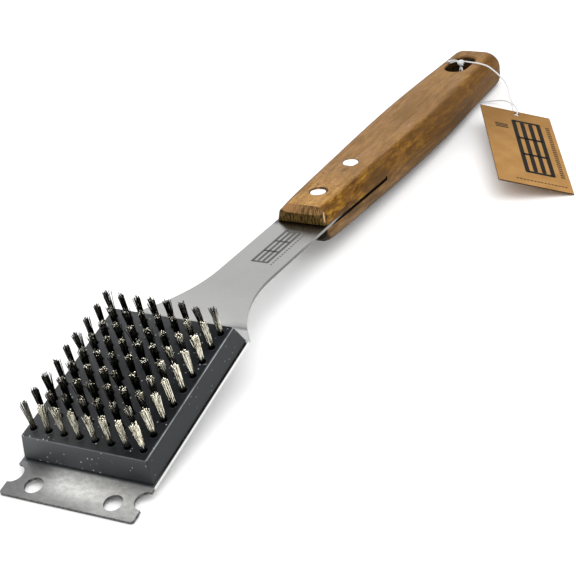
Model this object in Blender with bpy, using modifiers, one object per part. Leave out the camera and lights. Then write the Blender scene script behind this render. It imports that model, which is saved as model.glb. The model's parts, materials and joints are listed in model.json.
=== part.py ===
"""Grill cleaning brush with a stamped steel blade, a bristle block and a riveted wooden handle.

Metres, +Z up.  The brush lies on a table with its bristles up: the front edge of the scraper
lip and the rear of the handle touch the ground plane z = 0.  +Y runs from the lip to the handle,
and the origin is on the ground, midway along the brush.

Two local frames carry the sub-parts.  In the head frame the top of the blade is z = 0, x = 0 is
the middle and y = 0 is the front row of tufts.  In the handle frame y is the distance s from the
bend along the tang, and z is the height above the top of the tang.
"""
import math

import bmesh
import bpy
import numpy as np
from mathutils import Matrix, Vector

MM = 0.001
GAP = 0.3 * MM                    # air between pieces that touch on the real object

# Bristle field
COLUMNS = 8
ROWS = 9
COLUMN_PITCH = 8.0 * MM
ROW_PITCH = 8.9 * MM
TUFT_HEIGHT = 15.3 * MM           # above the block
TUFT_ROOT_RADIUS = 1.25 * MM
TUFT_TIP_RADIUS = 1.55 * MM
TUFT_SIDES = 6
DRAW_WIRE = 1.0 * MM              # wire behind the block that each row of tufts is looped over

# Bristle block, drafted on all four sides
BLOCK_HEIGHT = 12.4 * MM
BLOCK_TOP_HALF_WIDTH = 31.7 * MM
BLOCK_FOOT_HALF_WIDTH = 33.0 * MM
BLOCK_TOP_Y = (-5.2 * MM, 76.4 * MM)
BLOCK_FOOT_Y = (-7.6 * MM, 80.7 * MM)
BLOCK_EDGE = 0.6 * MM
SOCKET_RADIUS = TUFT_ROOT_RADIUS + GAP + 0.15 * MM
WIRE_CHANNEL = DRAW_WIRE + 2 * GAP

# Blade: head plate, lip, neck and tang, stamped from one sheet
PLATE_T = 1.5 * MM
PLATE_HALF_WIDTH = 33.8 * MM
LIP_FRONT_Y = -27.7 * MM
LIP_CORNER_RADIUS = 1.2 * MM
EAR_Y = 82.0 * MM
LIP_HOLE_RADIUS = 4.4 * MM
LIP_HOLE_XY = (20.2 * MM, -20.2 * MM)
NOTCH_RADIUS = 5.1 * MM
NOTCH_Y = -16.0 * MM
SHANK_HALF_WIDTH = 14.4 * MM
FLARE_RADIUS = 90.4 * MM
FLARE_END_Y = 138.0 * MM
BEND_Y = 87.9 * MM
BEND_ANGLE = math.radians(15.9)
BEND_RADIUS = 10.0 * MM
TANG_END_S = 172.6 * MM
TANG_CORNER_RADIUS = 4.0 * MM

# Screws that hold the block, driven from under the blade
SCREW_X = 2 * COLUMN_PITCH
SCREW_Y = (1.5 * ROW_PITCH, 6.5 * ROW_PITCH)
SCREW_SHANK_RADIUS = 1.75 * MM
SCREW_LENGTH = 9.0 * MM
SCREW_HEAD_RADIUS = 3.5 * MM
SCREW_HEAD_HEIGHT = 2.1 * MM

# Handle
NOSE_S = 109.4 * MM
HANDLE_END_S = 347.0 * MM
HANDLE_TOP_AT_NOSE = 8.82 * MM
HANDLE_TOP_SLOPE = 0.018
TOP_CHAMFER = (5.5 * MM, 4.8 * MM)        # across, down
BOTTOM_CHAMFER = (3.4 * MM, 3.4 * MM)
# Swell of the handle: distance s, half width
HANDLE_SWELL = ((109, 14.0), (124, 15.3), (144, 16.1), (176, 17.0), (208, 17.9), (240, 18.4),
                (264, 18.1), (290, 17.2), (320, 15.8), (347, 14.6))
# Belly of the handle: distance s, depth below the tang
HANDLE_BELLY = ((109, 10.9), (190, 10.9), (250, 9.9), (300, 8.7), (347, 8.7))
NOSE_BEVEL_LENGTH = 3.0 * MM
END_ROUND_LENGTH = 11.0 * MM
END_ROUND_SIDE = 6.2 * MM
END_ROUND_TOP = 11.5 * MM
END_ROUND_BOTTOM = 5.0 * MM
END_ROUND_EARLY = 0.8             # under 1, the top starts to fall sooner than the sides
CORNER_EASE = (1.6 * MM, 4.4 * MM)        # at the nose, and at the far end
CORNER_EASE_S = (200 * MM, 325 * MM)      # where one grows into the other
CORNER_EASE_SHARE = 0.48                  # most of a flat that one corner's ease may take
KERF_END_S = 174.4 * MM
KERF_GAP = 0.15 * MM                      # above the tang, and below it
KERF_NOTCH_LENGTH = 1.5 * MM              # the saw's run-out at the end of the kerf
KERF_NOTCH_RISE = 0.6 * MM
HANG_HOLE_S = (302.4 * MM, 327.2 * MM)
HANG_HOLE_HALF_WIDTH = 6.1 * MM
HANG_HOLE_EASING = 1.5 * MM

# Two-part rivets
RIVET_S = (129.2 * MM, 167.1 * MM)
RIVET_RECESS = (0.35 * MM, 0.0 * MM)      # how far each head sits below the wood
RIVET_HEAD_RADIUS = 4.35 * MM
RIVET_HEAD_T = 1.6 * MM
RIVET_TUBE_RADIUS = 3.0 * MM
RIVET_PIN_RADIUS = 1.7 * MM

# Tag: a card that leans with its right edge on the ground, hung on the string by its hole
TAG_WIDTH = 41.0 * MM
TAG_LENGTH = 99.2 * MM
TAG_T = 0.6 * MM
TAG_HOLE_RADIUS = 1.6 * MM
TAG_HOLE_INSET = 4.6 * MM                 # from the top edge to the hole
TAG_HOLE_OFFSET = 0.5 * MM                # hole to the right of the card's middle
TAG_PIVOT = (46.75 * MM, 166.86 * MM, 7.28 * MM)
TAG_HEADING = math.radians(27.8)
TAG_TILT = math.radians(19.7)

# String: one loop that starts and ends at the knot in the mouth of the hanging hole.  It runs
# over the handle, down through the tag, back under the handle and up through the hole.
STRING_DIAMETER = 1.0 * MM
STRING_STEP = 2.3 * MM
STRING_ROUTE = ((1.9, 200.8, 23.0), (5.7, 199.8, 23.2), (11.2, 200.0, 22.7), (15.8, 201.8, 20.6),
                (20.4, 200.0, 18.9), (25.3, 196.5, 17.5), (30.6, 191.9, 15.8),
                (34.6, 186.3, 14.1), (38.2, 179.4, 12.4), (42.0, 173.8, 11.2),
                (45.2, 170.9, 10.3), (46.6, 168.9, 9.4), (47.0, 167.6, 8.5),
                (46.75, 166.86, 7.28), (45.9, 167.2, 5.7), (44.6, 168.9, 5.0),
                (42.9, 172.0, 4.7), (40.6, 176.8, 4.9), (38.2, 182.0, 5.0), (35.6, 186.6, 4.8),
                (32.2, 190.2, 4.3), (28.0, 192.7, 3.5), (22.6, 194.4, 2.2), (16.8, 194.6, 1.1),
                (12.4, 194.0, 0.65), (8.8, 193.6, 0.6), (5.9, 193.7, 1.1), (3.9, 194.2, 2.9),
                (2.8, 195.1, 6.0), (2.0, 196.8, 11.0), (1.0, 198.8, 16.0), (0.0, 200.2, 19.3))
KNOT_CENTRE = (-0.6 * MM, 200.9 * MM, 22.0 * MM)
KNOT_RADIUS = 2.0 * MM
TAIL_ROUTE = ((-1.2, 200.8, 22.4), (-3.6, 200.1, 23.4), (-5.8, 199.3, 23.5), (-7.9, 198.4, 23.35))

# The rear of the handle touches the ground where its end rounding starts.
REST_S = HANDLE_END_S - END_ROUND_LENGTH


def smooth(table, at):
    """Value at a distance, in millimetres, on a smooth curve through a short table of points."""
    x = np.array([row[0] for row in table], float)
    y = np.array([row[1] for row in table], float)
    slope = np.gradient(y, x)
    i = int(np.clip(np.searchsorted(x, at) - 1, 0, len(x) - 2))
    h = x[i + 1] - x[i]
    t = (min(max(at, x[0]), x[-1]) - x[i]) / h
    return float((2 * t**3 - 3 * t**2 + 1) * y[i] + (t**3 - 2 * t**2 + t) * h * slope[i]
                 + (3 * t**2 - 2 * t**3) * y[i + 1] + (t**3 - t**2) * h * slope[i + 1])


def handle_half_width(s):
    return smooth(HANDLE_SWELL, s / MM) * MM


def handle_bottom(s):
    return -smooth(HANDLE_BELLY, s / MM) * MM


def handle_top(s):
    return HANDLE_TOP_AT_NOSE + HANDLE_TOP_SLOPE * (s - NOSE_S)


# ---------------------------------------------------------------- scene and helpers

def clear_scene():
    for item in list(bpy.data.objects):
        bpy.data.objects.remove(item, do_unlink=True)


def collection(name):
    made = bpy.data.collections.new(name)
    bpy.context.scene.collection.children.link(made)
    return made


def material(name, colour, roughness, metallic=0.0):
    made = bpy.data.materials.new(name)
    made.use_nodes = True
    shader = made.node_tree.nodes["Principled BSDF"]
    shader.inputs["Base Color"].default_value = (*colour, 1.0)
    shader.inputs["Roughness"].default_value = roughness
    shader.inputs["Metallic"].default_value = metallic
    return made


def empty(name, parent=None):
    made = bpy.data.objects.new(name, None)
    PARTS.objects.link(made)
    made.parent = parent
    return made


def add_object(name, bm, parent, mat=None, cutter=False):
    """Turn a bmesh into a named object in the parts or the cutters collection."""
    mesh = bpy.data.meshes.new(name)
    bmesh.ops.recalc_face_normals(bm, faces=bm.faces)
    bm.to_mesh(mesh)
    bm.free()
    made = bpy.data.objects.new(name, mesh)
    (CUTTERS if cutter else PARTS).objects.link(made)
    made.parent = parent
    if mat:
        mesh.materials.append(mat)
    if cutter:
        made.hide_render = True
        made.display_type = "WIRE"
    return made


def cut(target, cutter):
    boolean = target.modifiers.new("cut_" + cutter.name, "BOOLEAN")
    boolean.operation = "DIFFERENCE"
    boolean.solver = "EXACT"
    boolean.object = cutter


def join(target, other):
    union = target.modifiers.new("join_" + other.name, "BOOLEAN")
    union.operation = "UNION"
    union.solver = "EXACT"
    union.object = other


def soften(target, width, segments=1):
    bevel = target.modifiers.new("edges", "BEVEL")
    bevel.width = width
    bevel.segments = segments
    bevel.limit_method = "ANGLE"
    bevel.angle_limit = math.radians(40)


def shade_round(target):
    target.data.shade_smooth()
    target.data.set_sharp_from_angle(angle=math.radians(40))


def add_cylinder(bm, centre, radius, z_low, z_high, sides=24, top_radius=None):
    """A closed upright cylinder or cone from z_low to z_high."""
    place = Matrix.Translation((centre[0], centre[1], (z_low + z_high) / 2))
    bmesh.ops.create_cone(bm, cap_ends=True, segments=sides, radius1=radius,
                          radius2=radius if top_radius is None else top_radius,
                          depth=z_high - z_low, matrix=place)


def add_box(bm, low, high):
    size = Vector(high) - Vector(low)
    middle = (Vector(high) + Vector(low)) / 2
    bmesh.ops.create_cube(bm, size=1.0,
                          matrix=Matrix.Translation(middle) @ Matrix.Diagonal((*size, 1.0)))


def loft(bm, rings):
    """Join rings of equally many points into a closed skin with a flat cap at each end."""
    loops = [[bm.verts.new(point) for point in ring] for ring in rings]
    for low, high in zip(loops, loops[1:]):
        for i in range(len(low)):
            j = (i + 1) % len(low)
            bm.faces.new((low[i], low[j], high[j], high[i]))
    bm.faces.new(reversed(loops[0]))
    bm.faces.new(loops[-1])


def arc(centre, radius, start, end, steps):
    """Points on an arc in the plane, with the angles in degrees."""
    angles = np.radians(np.linspace(start, end, steps + 1))
    return [(centre[0] + radius * math.cos(a), centre[1] + radius * math.sin(a)) for a in angles]


# ---------------------------------------------------------------- resting pose

def head_from_handle(s, n):
    """Height and distance in the head frame of a point (s, n) in the handle frame."""
    y = BEND_Y + s * math.cos(BEND_ANGLE) + n * math.sin(BEND_ANGLE)
    z = -s * math.sin(BEND_ANGLE) + n * math.cos(BEND_ANGLE)
    return y, z


def rest_tilt():
    """Angle of the head plate when the lip and the rear of the handle touch the ground."""
    y, z = head_from_handle(REST_S, handle_bottom(REST_S))
    return -math.atan2(z + PLATE_T, y - LIP_FRONT_Y)


def place_frames():
    """Empties for the head frame and the handle frame, set down on the ground."""
    tilt = rest_tilt()
    end_y, end_z = head_from_handle(HANDLE_END_S, 0.0)
    reach = (end_y - LIP_FRONT_Y) * math.cos(tilt) - (end_z + PLATE_T) * math.sin(tilt)
    rotation = Matrix.Rotation(tilt, 4, "X")
    lip_edge = rotation @ Vector((0.0, LIP_FRONT_Y, -PLATE_T))
    head = empty("head_frame")
    head.rotation_euler = (tilt, 0.0, 0.0)
    head.location = Vector((0.0, -reach / 2, 0.0)) - lip_edge
    handle = empty("handle_frame", head)
    handle.location = (0.0, BEND_Y, 0.0)
    handle.rotation_euler = (-BEND_ANGLE, 0.0, 0.0)
    return head, handle


# ---------------------------------------------------------------- blade

def blade_half_outline():
    """Right half of the flat blank, from the lip to the end of the tang."""
    lip = arc((PLATE_HALF_WIDTH - LIP_CORNER_RADIUS, LIP_FRONT_Y + LIP_CORNER_RADIUS),
              LIP_CORNER_RADIUS, -90, 0, 3)
    centre = (SHANK_HALF_WIDTH + FLARE_RADIUS, FLARE_END_Y)
    start = math.degrees(math.asin((EAR_Y - FLARE_END_Y) / FLARE_RADIUS))
    flare = arc(centre, FLARE_RADIUS, 180 - start, 180, 18)
    tang_y = BEND_Y + TANG_END_S
    tang = arc((SHANK_HALF_WIDTH - TANG_CORNER_RADIUS, tang_y - TANG_CORNER_RADIUS),
               TANG_CORNER_RADIUS, 0, 90, 4)
    return lip + [(PLATE_HALF_WIDTH, EAR_Y)] + flare[1:] + tang


def bend(y, z):
    """Where a point of the flat blank goes when the neck is bent down."""
    start = BEND_Y - BEND_RADIUS * math.tan(BEND_ANGLE / 2)
    if y <= start:
        return y, z
    turn = min((y - start) / BEND_RADIUS, BEND_ANGLE)
    beyond = y - start - BEND_RADIUS * turn
    radius = BEND_RADIUS + z
    return (start + radius * math.sin(turn) + beyond * math.cos(turn),
            radius * math.cos(turn) - BEND_RADIUS - beyond * math.sin(turn))


def make_blade(head, handle):
    half = blade_half_outline()
    outline = half + [(-x, y) for x, y in reversed(half)]
    curve = bpy.data.curves.new("blade_outline", "CURVE")
    curve.dimensions = "2D"
    curve.fill_mode = "BOTH"
    curve.extrude = PLATE_T / 2
    spline = curve.splines.new("POLY")
    spline.points.add(len(outline) - 1)
    for point, (x, y) in zip(spline.points, outline):
        point.co = (x, y, 0.0, 1.0)
    spline.use_cyclic_u = True
    flat = bpy.data.objects.new("blade_outline", curve)
    PARTS.objects.link(flat)
    graph = bpy.context.evaluated_depsgraph_get()
    mesh = bpy.data.meshes.new_from_object(flat.evaluated_get(graph))
    bpy.data.objects.remove(flat, do_unlink=True)
    bm = bmesh.new()
    bm.from_mesh(mesh)
    bpy.data.meshes.remove(mesh)
    bmesh.ops.remove_doubles(bm, verts=bm.verts, dist=0.01 * MM)
    bmesh.ops.dissolve_limit(bm, angle_limit=math.radians(1), verts=bm.verts, edges=bm.edges)
    start = BEND_Y - BEND_RADIUS * math.tan(BEND_ANGLE / 2)
    for y in np.linspace(start, start + BEND_RADIUS * BEND_ANGLE, 6):
        geometry = bm.verts[:] + bm.edges[:] + bm.faces[:]
        bmesh.ops.bisect_plane(bm, geom=geometry, dist=0.001 * MM, plane_co=(0, y, 0),
                               plane_no=(0, 1, 0))
    for vert in bm.verts:
        vert.co.y, vert.co.z = bend(vert.co.y, vert.co.z - PLATE_T / 2)
    blade = add_object("blade", bm, head, STEEL)

    holes = bmesh.new()
    for side in (-1, 1):
        add_cylinder(holes, (side * LIP_HOLE_XY[0], LIP_HOLE_XY[1]), LIP_HOLE_RADIUS,
                     -3 * PLATE_T, 2 * PLATE_T, 32)
        add_cylinder(holes, (side * PLATE_HALF_WIDTH, NOTCH_Y), NOTCH_RADIUS,
                     -3 * PLATE_T, 2 * PLATE_T, 40)
        for y in SCREW_Y:
            add_cylinder(holes, (side * SCREW_X, y), SCREW_SHANK_RADIUS + GAP,
                         -3 * PLATE_T, 2 * PLATE_T, 16)
    cut(blade, add_object("head_holes", holes, head, cutter=True))
    rivet_holes = bmesh.new()
    for s in RIVET_S:
        add_cylinder(rivet_holes, (0.0, s), RIVET_TUBE_RADIUS + GAP, -3 * PLATE_T, 2 * PLATE_T)
    cut(blade, add_object("tang_holes", rivet_holes, handle, cutter=True))
    return blade


# ---------------------------------------------------------------- bristle block

def tuft_places(row):
    """Centres of the tufts in one row, in the head frame."""
    return [((column - (COLUMNS - 1) / 2) * COLUMN_PITCH, row * ROW_PITCH)
            for column in range(COLUMNS)]


def make_block(head):
    bm = bmesh.new()
    add_box(bm, (-BLOCK_FOOT_HALF_WIDTH, BLOCK_FOOT_Y[0], GAP),
            (BLOCK_FOOT_HALF_WIDTH, BLOCK_FOOT_Y[1], BLOCK_HEIGHT))
    for vert in bm.verts:
        if vert.co.z > BLOCK_HEIGHT / 2:
            vert.co.x = math.copysign(BLOCK_TOP_HALF_WIDTH, vert.co.x)
            vert.co.y = BLOCK_TOP_Y[0] if vert.co.y < 0 else BLOCK_TOP_Y[1]
    block = add_object("brush_block", bm, head, BLACK_PLASTIC)
    soften(block, BLOCK_EDGE, 2)

    reach = (COLUMNS - 1) / 2 * COLUMN_PITCH + WIRE_CHANNEL / 2
    channels = bmesh.new()
    sockets = bmesh.new()
    for row in range(ROWS):
        y = row * ROW_PITCH
        add_box(channels, (-reach, y - WIRE_CHANNEL / 2, -PLATE_T),
                (reach, y + WIRE_CHANNEL / 2, GAP + WIRE_CHANNEL))
        for place in tuft_places(row):
            add_cylinder(sockets, place, SOCKET_RADIUS, -PLATE_T, BLOCK_HEIGHT + 2 * MM, 8)
    cut(block, add_object("wire_channels", channels, head, cutter=True))
    cut(block, add_object("tuft_sockets", sockets, head, cutter=True))
    pilots = bmesh.new()
    for side in (-1, 1):
        for y in SCREW_Y:
            add_cylinder(pilots, (side * SCREW_X, y), SCREW_SHANK_RADIUS + GAP,
                         -PLATE_T, SCREW_LENGTH - PLATE_T + 2 * GAP, 12)
    cut(block, add_object("screw_pilots", pilots, head, cutter=True))


def make_tufts(head):
    """Each row is one node: eight bundles of wire and the drawing wire that holds them."""
    wire_top = 2 * GAP + DRAW_WIRE
    reach = (COLUMNS - 1) / 2 * COLUMN_PITCH
    for row in range(ROWS):
        y = row * ROW_PITCH
        wire = bmesh.new()
        add_box(wire, (-reach, y - DRAW_WIRE / 2, 2 * GAP), (reach, y + DRAW_WIRE / 2, wire_top))
        tufts = bmesh.new()
        for place in tuft_places(row):
            add_cylinder(tufts, place, TUFT_ROOT_RADIUS, 1.5 * GAP, BLOCK_HEIGHT + TUFT_HEIGHT,
                         TUFT_SIDES, TUFT_TIP_RADIUS)
        made = add_object(f"tuft_row_{row + 1}", wire, head, BRISTLE_WIRE)
        join(made, add_object(f"bundles_{row + 1}", tufts, head, cutter=True))


def turned(bm, centre, profile, sides):
    """A closed turned solid on an upright axis from (radius, height) points."""
    rings = [[(centre[0] + radius * math.cos(2 * math.pi * i / sides),
               centre[1] + radius * math.sin(2 * math.pi * i / sides), z) for i in range(sides)]
             for radius, z in profile]
    loft(bm, rings)


def make_screws(head):
    """Four pan-head screws up through the blade into the block."""
    under = -PLATE_T - GAP
    tip = SCREW_LENGTH - PLATE_T
    profile = ((SCREW_SHANK_RADIUS * 0.4, tip),
               (SCREW_SHANK_RADIUS, tip - 1.8 * MM),
               (SCREW_SHANK_RADIUS, under),
               (SCREW_HEAD_RADIUS, under),
               (SCREW_HEAD_RADIUS * 0.94, under - SCREW_HEAD_HEIGHT * 0.6),
               (SCREW_HEAD_RADIUS * 0.6, under - SCREW_HEAD_HEIGHT))
    places = [(side * SCREW_X, y) for y in SCREW_Y for side in (-1, 1)]
    for number, place in enumerate(places, 1):
        bm = bmesh.new()
        turned(bm, place, profile, 16)
        shade_round(add_object(f"block_screw_{number}", bm, head, ZINC))


# ---------------------------------------------------------------- handle

def corner_ease(s):
    start, end = CORNER_EASE_S
    share = min(max((s - start) / (end - start), 0.0), 1.0)
    return CORNER_EASE[0] + share * (CORNER_EASE[1] - CORNER_EASE[0])


def handle_ring(s, side_inset=0.0, top_inset=0.0, bottom_inset=0.0):
    """Soft-edged octagon across the handle at distance s."""
    w = handle_half_width(s) - side_inset
    top = handle_top(s) - top_inset
    bottom = handle_bottom(s) + bottom_inset
    squeeze = w / handle_half_width(s)
    tx, tz = TOP_CHAMFER[0] * squeeze, TOP_CHAMFER[1] * squeeze
    bx, bz = BOTTOM_CHAMFER[0] * squeeze, BOTTOM_CHAMFER[1] * squeeze
    corners = [(w - bx, bottom), (w, bottom + bz), (w, top - tz), (w - tx, top)]
    corners += [(-x, z) for x, z in reversed(corners)]
    ring = []
    for i, corner in enumerate(corners):
        corner = Vector(corner)
        before = Vector(corners[i - 1]) - corner
        after = Vector(corners[(i + 1) % len(corners)]) - corner
        ease = min(corner_ease(s), CORNER_EASE_SHARE * min(before.length, after.length))
        start, end = corner + before.normalized() * ease, corner + after.normalized() * ease
        ring += [(x, s, z) for x, z in (start, (start + 2 * corner + end) / 4, end)]
    return ring


def make_handle(handle):
    rings = [handle_ring(NOSE_S, 0.9 * MM, 3.6 * MM, 5.0 * MM),
             handle_ring(NOSE_S + 0.25 * NOSE_BEVEL_LENGTH, 0.3 * MM, 2.4 * MM, 2.6 * MM),
             handle_ring(NOSE_S + NOSE_BEVEL_LENGTH, 0.0, 0.0, 0.8 * MM),
             handle_ring(NOSE_S + 2 * NOSE_BEVEL_LENGTH)]
    body_start = NOSE_S + 4 * NOSE_BEVEL_LENGTH
    body_end = HANDLE_END_S - END_ROUND_LENGTH
    rings += [handle_ring(s) for s in np.linspace(body_start, body_end, 17)]
    for turn in np.radians((22, 42, 60, 76, 90)):
        inset = 1 - math.cos(turn)
        rings.append(handle_ring(body_end + END_ROUND_LENGTH * math.sin(turn),
                                 END_ROUND_SIDE * inset, END_ROUND_TOP * inset**END_ROUND_EARLY,
                                 END_ROUND_BOTTOM * inset))
    bm = bmesh.new()
    loft(bm, rings)
    wood = add_object("handle", bm, handle, WOOD)
    shade_round(wood)

    kerf = bmesh.new()
    low = -PLATE_T - KERF_GAP
    add_box(kerf, (-0.03, NOSE_S - 0.01, low), (0.03, KERF_END_S, KERF_GAP))
    notch = bmesh.new()
    add_box(notch, (-0.03, KERF_END_S - KERF_NOTCH_LENGTH, low),
            (0.03, KERF_END_S + GAP, KERF_GAP + KERF_NOTCH_RISE))
    cut(wood, add_object("kerf", kerf, handle, cutter=True))
    cut(wood, add_object("kerf_notch", notch, handle, cutter=True))

    bores = bmesh.new()
    for s in RIVET_S:
        add_cylinder(bores, (0.0, s), RIVET_TUBE_RADIUS + GAP, -0.03, 0.03)
    cut(wood, add_object("rivet_bores", bores, handle, cutter=True))
    seats = bmesh.new()
    for s, recess in zip(RIVET_S, RIVET_RECESS):
        top, bottom = rivet_head_planes(s, recess)
        add_cylinder(seats, (0.0, s), RIVET_HEAD_RADIUS + GAP, top - RIVET_HEAD_T - GAP, 0.03, 32)
        add_cylinder(seats, (0.0, s), RIVET_HEAD_RADIUS + GAP, -0.03, bottom + RIVET_HEAD_T + GAP,
                     32)
    cut(wood, add_object("rivet_seats", seats, handle, cutter=True))
    cut(wood, add_hang_hole(handle))


def add_hang_hole(handle):
    """Oblong cutter with an eased mouth above and below."""
    front, rear = HANG_HOLE_S
    top = handle_top((front + rear) / 2)
    bottom = handle_bottom((front + rear) / 2)
    ease = HANG_HOLE_EASING
    levels = [(bottom - 3 * MM, 3 * MM + ease), (bottom, ease), (bottom + 0.3 * ease, 0.3 * ease),
              (bottom + ease, 0.0), (top - ease, 0.0), (top - 0.3 * ease, 0.3 * ease),
              (top, ease), (top + 3 * MM, 3 * MM + ease)]
    rings = []
    for z, grow in levels:
        radius = HANG_HOLE_HALF_WIDTH + grow
        ends = arc((0.0, rear - HANG_HOLE_HALF_WIDTH), radius, 0, 180, 8)
        ends += arc((0.0, front + HANG_HOLE_HALF_WIDTH), radius, 180, 360, 8)
        rings.append([(x, s, z) for x, s in ends])
    bm = bmesh.new()
    loft(bm, rings)
    return add_object("hang_hole", bm, handle, cutter=True)


# ---------------------------------------------------------------- rivets

def rivet_head_planes(s, recess):
    """Outer faces of a rivet's two heads."""
    return handle_top(s) - recess, handle_bottom(s) + 0.3 * MM


def make_rivets(handle):
    """Each rivet is a tube half from below and a pin half from above."""
    for name, s, recess in zip(("front", "rear"), RIVET_S, RIVET_RECESS):
        top, bottom = rivet_head_planes(s, recess)
        tube_end = top - RIVET_HEAD_T - 2 * GAP
        tube = bmesh.new()
        turned(tube, (0.0, s), ((RIVET_HEAD_RADIUS - 0.3 * MM, bottom),
                                (RIVET_HEAD_RADIUS, bottom + 0.3 * MM),
                                (RIVET_HEAD_RADIUS, bottom + RIVET_HEAD_T),
                                (RIVET_TUBE_RADIUS, bottom + RIVET_HEAD_T),
                                (RIVET_TUBE_RADIUS, tube_end)), 32)
        lower = add_object(f"rivet_{name}_tube", tube, handle, ALUMINIUM)
        bore = bmesh.new()
        add_cylinder(bore, (0.0, s), RIVET_PIN_RADIUS + GAP, bottom + 2 * RIVET_HEAD_T, 0.04)
        cut(lower, add_object(f"rivet_{name}_bore", bore, handle, cutter=True))
        shade_round(lower)

        pin = bmesh.new()
        turned(pin, (0.0, s), ((RIVET_PIN_RADIUS, bottom + 2 * RIVET_HEAD_T + 2 * MM),
                               (RIVET_PIN_RADIUS, top - RIVET_HEAD_T),
                               (RIVET_HEAD_RADIUS, top - RIVET_HEAD_T),
                               (RIVET_HEAD_RADIUS, top - 0.3 * MM),
                               (RIVET_HEAD_RADIUS - 0.3 * MM, top)), 32)
        shade_round(add_object(f"rivet_{name}_pin", pin, handle, ALUMINIUM))


# ---------------------------------------------------------------- string and tag

def curve_through(route, step):
    """Evenly spaced points, in metres, on a smooth curve through a route in millimetres."""
    points = np.array(route, float) * MM
    padded = np.vstack((2 * points[0] - points[1], points, 2 * points[-1] - points[-2]))
    dense = []
    for a, b, c, d in zip(padded, padded[1:], padded[2:], padded[3:]):
        for t in np.linspace(0, 1, 20, endpoint=False):
            dense.append(0.5 * (2 * b + (c - a) * t + (2 * a - 5 * b + 4 * c - d) * t**2
                                + (3 * b - a - 3 * c + d) * t**3))
    dense = np.array(dense + [points[-1]])
    travelled = np.append(0, np.cumsum(np.linalg.norm(np.diff(dense, axis=0), axis=1)))
    stops = np.linspace(0, travelled[-1], round(travelled[-1] / step) + 1)
    return np.column_stack([np.interp(stops, travelled, axis) for axis in dense.T])


def tube(name, points, diameter):
    """A round tube with filled caps, as a curve object."""
    curve = bpy.data.curves.new(name, "CURVE")
    curve.dimensions = "3D"
    curve.bevel_depth = diameter / 2
    curve.bevel_resolution = 2
    curve.use_fill_caps = True
    spline = curve.splines.new("POLY")
    spline.points.add(len(points) - 1)
    for point, place in zip(spline.points, points):
        point.co = (*place, 1.0)
    curve.materials.append(COTTON)
    made = bpy.data.objects.new(name, curve)
    PARTS.objects.link(made)
    return made


def mesh_from(curve_object, name, cutter=False):
    """Replace a curve object by a mesh with welded caps."""
    graph = bpy.context.evaluated_depsgraph_get()
    mesh = bpy.data.meshes.new_from_object(curve_object.evaluated_get(graph))
    bm = bmesh.new()
    bm.from_mesh(mesh)
    bmesh.ops.remove_doubles(bm, verts=bm.verts, dist=0.001 * MM)
    bpy.data.meshes.remove(mesh)
    bpy.data.objects.remove(curve_object, do_unlink=True)
    return add_object(name, bm, None, COTTON, cutter)


def make_string():
    tube("tag_string", curve_through(STRING_ROUTE, STRING_STEP), STRING_DIAMETER)
    ball = bmesh.new()
    place = Matrix.Translation(KNOT_CENTRE) @ Matrix.Diagonal((1.1, 0.95, 0.95, 1.0))
    bmesh.ops.create_uvsphere(ball, u_segments=12, v_segments=8, radius=KNOT_RADIUS, matrix=place)
    knot = add_object("string_knot", ball, None, COTTON)
    tail = tube("knot_tail", curve_through(TAIL_ROUTE, 1.2 * MM), STRING_DIAMETER)
    join(knot, mesh_from(tail, "knot_tail", cutter=True))


def make_tag():
    """The card, in a frame whose origin is the middle of its hole."""
    pivot = empty("tag_pivot")
    pivot.location = TAG_PIVOT
    pivot.rotation_euler = (Matrix.Rotation(TAG_HEADING, 3, "Z")
                            @ Matrix.Rotation(TAG_TILT, 3, "Y")).to_euler()
    left = -TAG_WIDTH / 2 - TAG_HOLE_OFFSET
    top = TAG_HOLE_INSET
    card = bmesh.new()
    add_box(card, (left, top - TAG_LENGTH, -TAG_T / 2), (left + TAG_WIDTH, top, TAG_T / 2))
    tag = add_object("hang_tag", card, pivot, KRAFT_CARD)
    hole = bmesh.new()
    add_cylinder(hole, (0.0, 0.0), TAG_HOLE_RADIUS, -5 * TAG_T, 5 * TAG_T, 16)
    cut(tag, add_object("tag_hole", hole, pivot, cutter=True))


clear_scene()
PARTS = collection("grill_cleaning_brush")
CUTTERS = collection("cutters")
STEEL = material("brushed_steel", (0.45, 0.45, 0.44), 0.35, 1.0)
BLACK_PLASTIC = material("black_plastic", (0.018, 0.020, 0.023), 0.5)
BRISTLE_WIRE = material("bristle_wire", (0.55, 0.52, 0.44), 0.35, 1.0)
ZINC = material("zinc_plate", (0.55, 0.56, 0.58), 0.35, 1.0)
WOOD = material("acacia_wood", (0.30, 0.16, 0.07), 0.5)
ALUMINIUM = material("aluminium", (0.85, 0.85, 0.86), 0.3, 1.0)
COTTON = material("white_cotton", (0.80, 0.79, 0.76), 0.9)
KRAFT_CARD = material("kraft_card", (0.55, 0.31, 0.13), 0.85)

HEAD, HANDLE = place_frames()
make_blade(HEAD, HANDLE)
make_block(HEAD)
make_tufts(HEAD)
make_screws(HEAD)
make_handle(HANDLE)
make_rivets(HANDLE)
make_string()
make_tag()
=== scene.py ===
"""Looks of the grill cleaning brush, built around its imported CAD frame."""
import json
import math

import bmesh
import bpy
import numpy as np
from mathutils import Matrix, Vector


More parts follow.
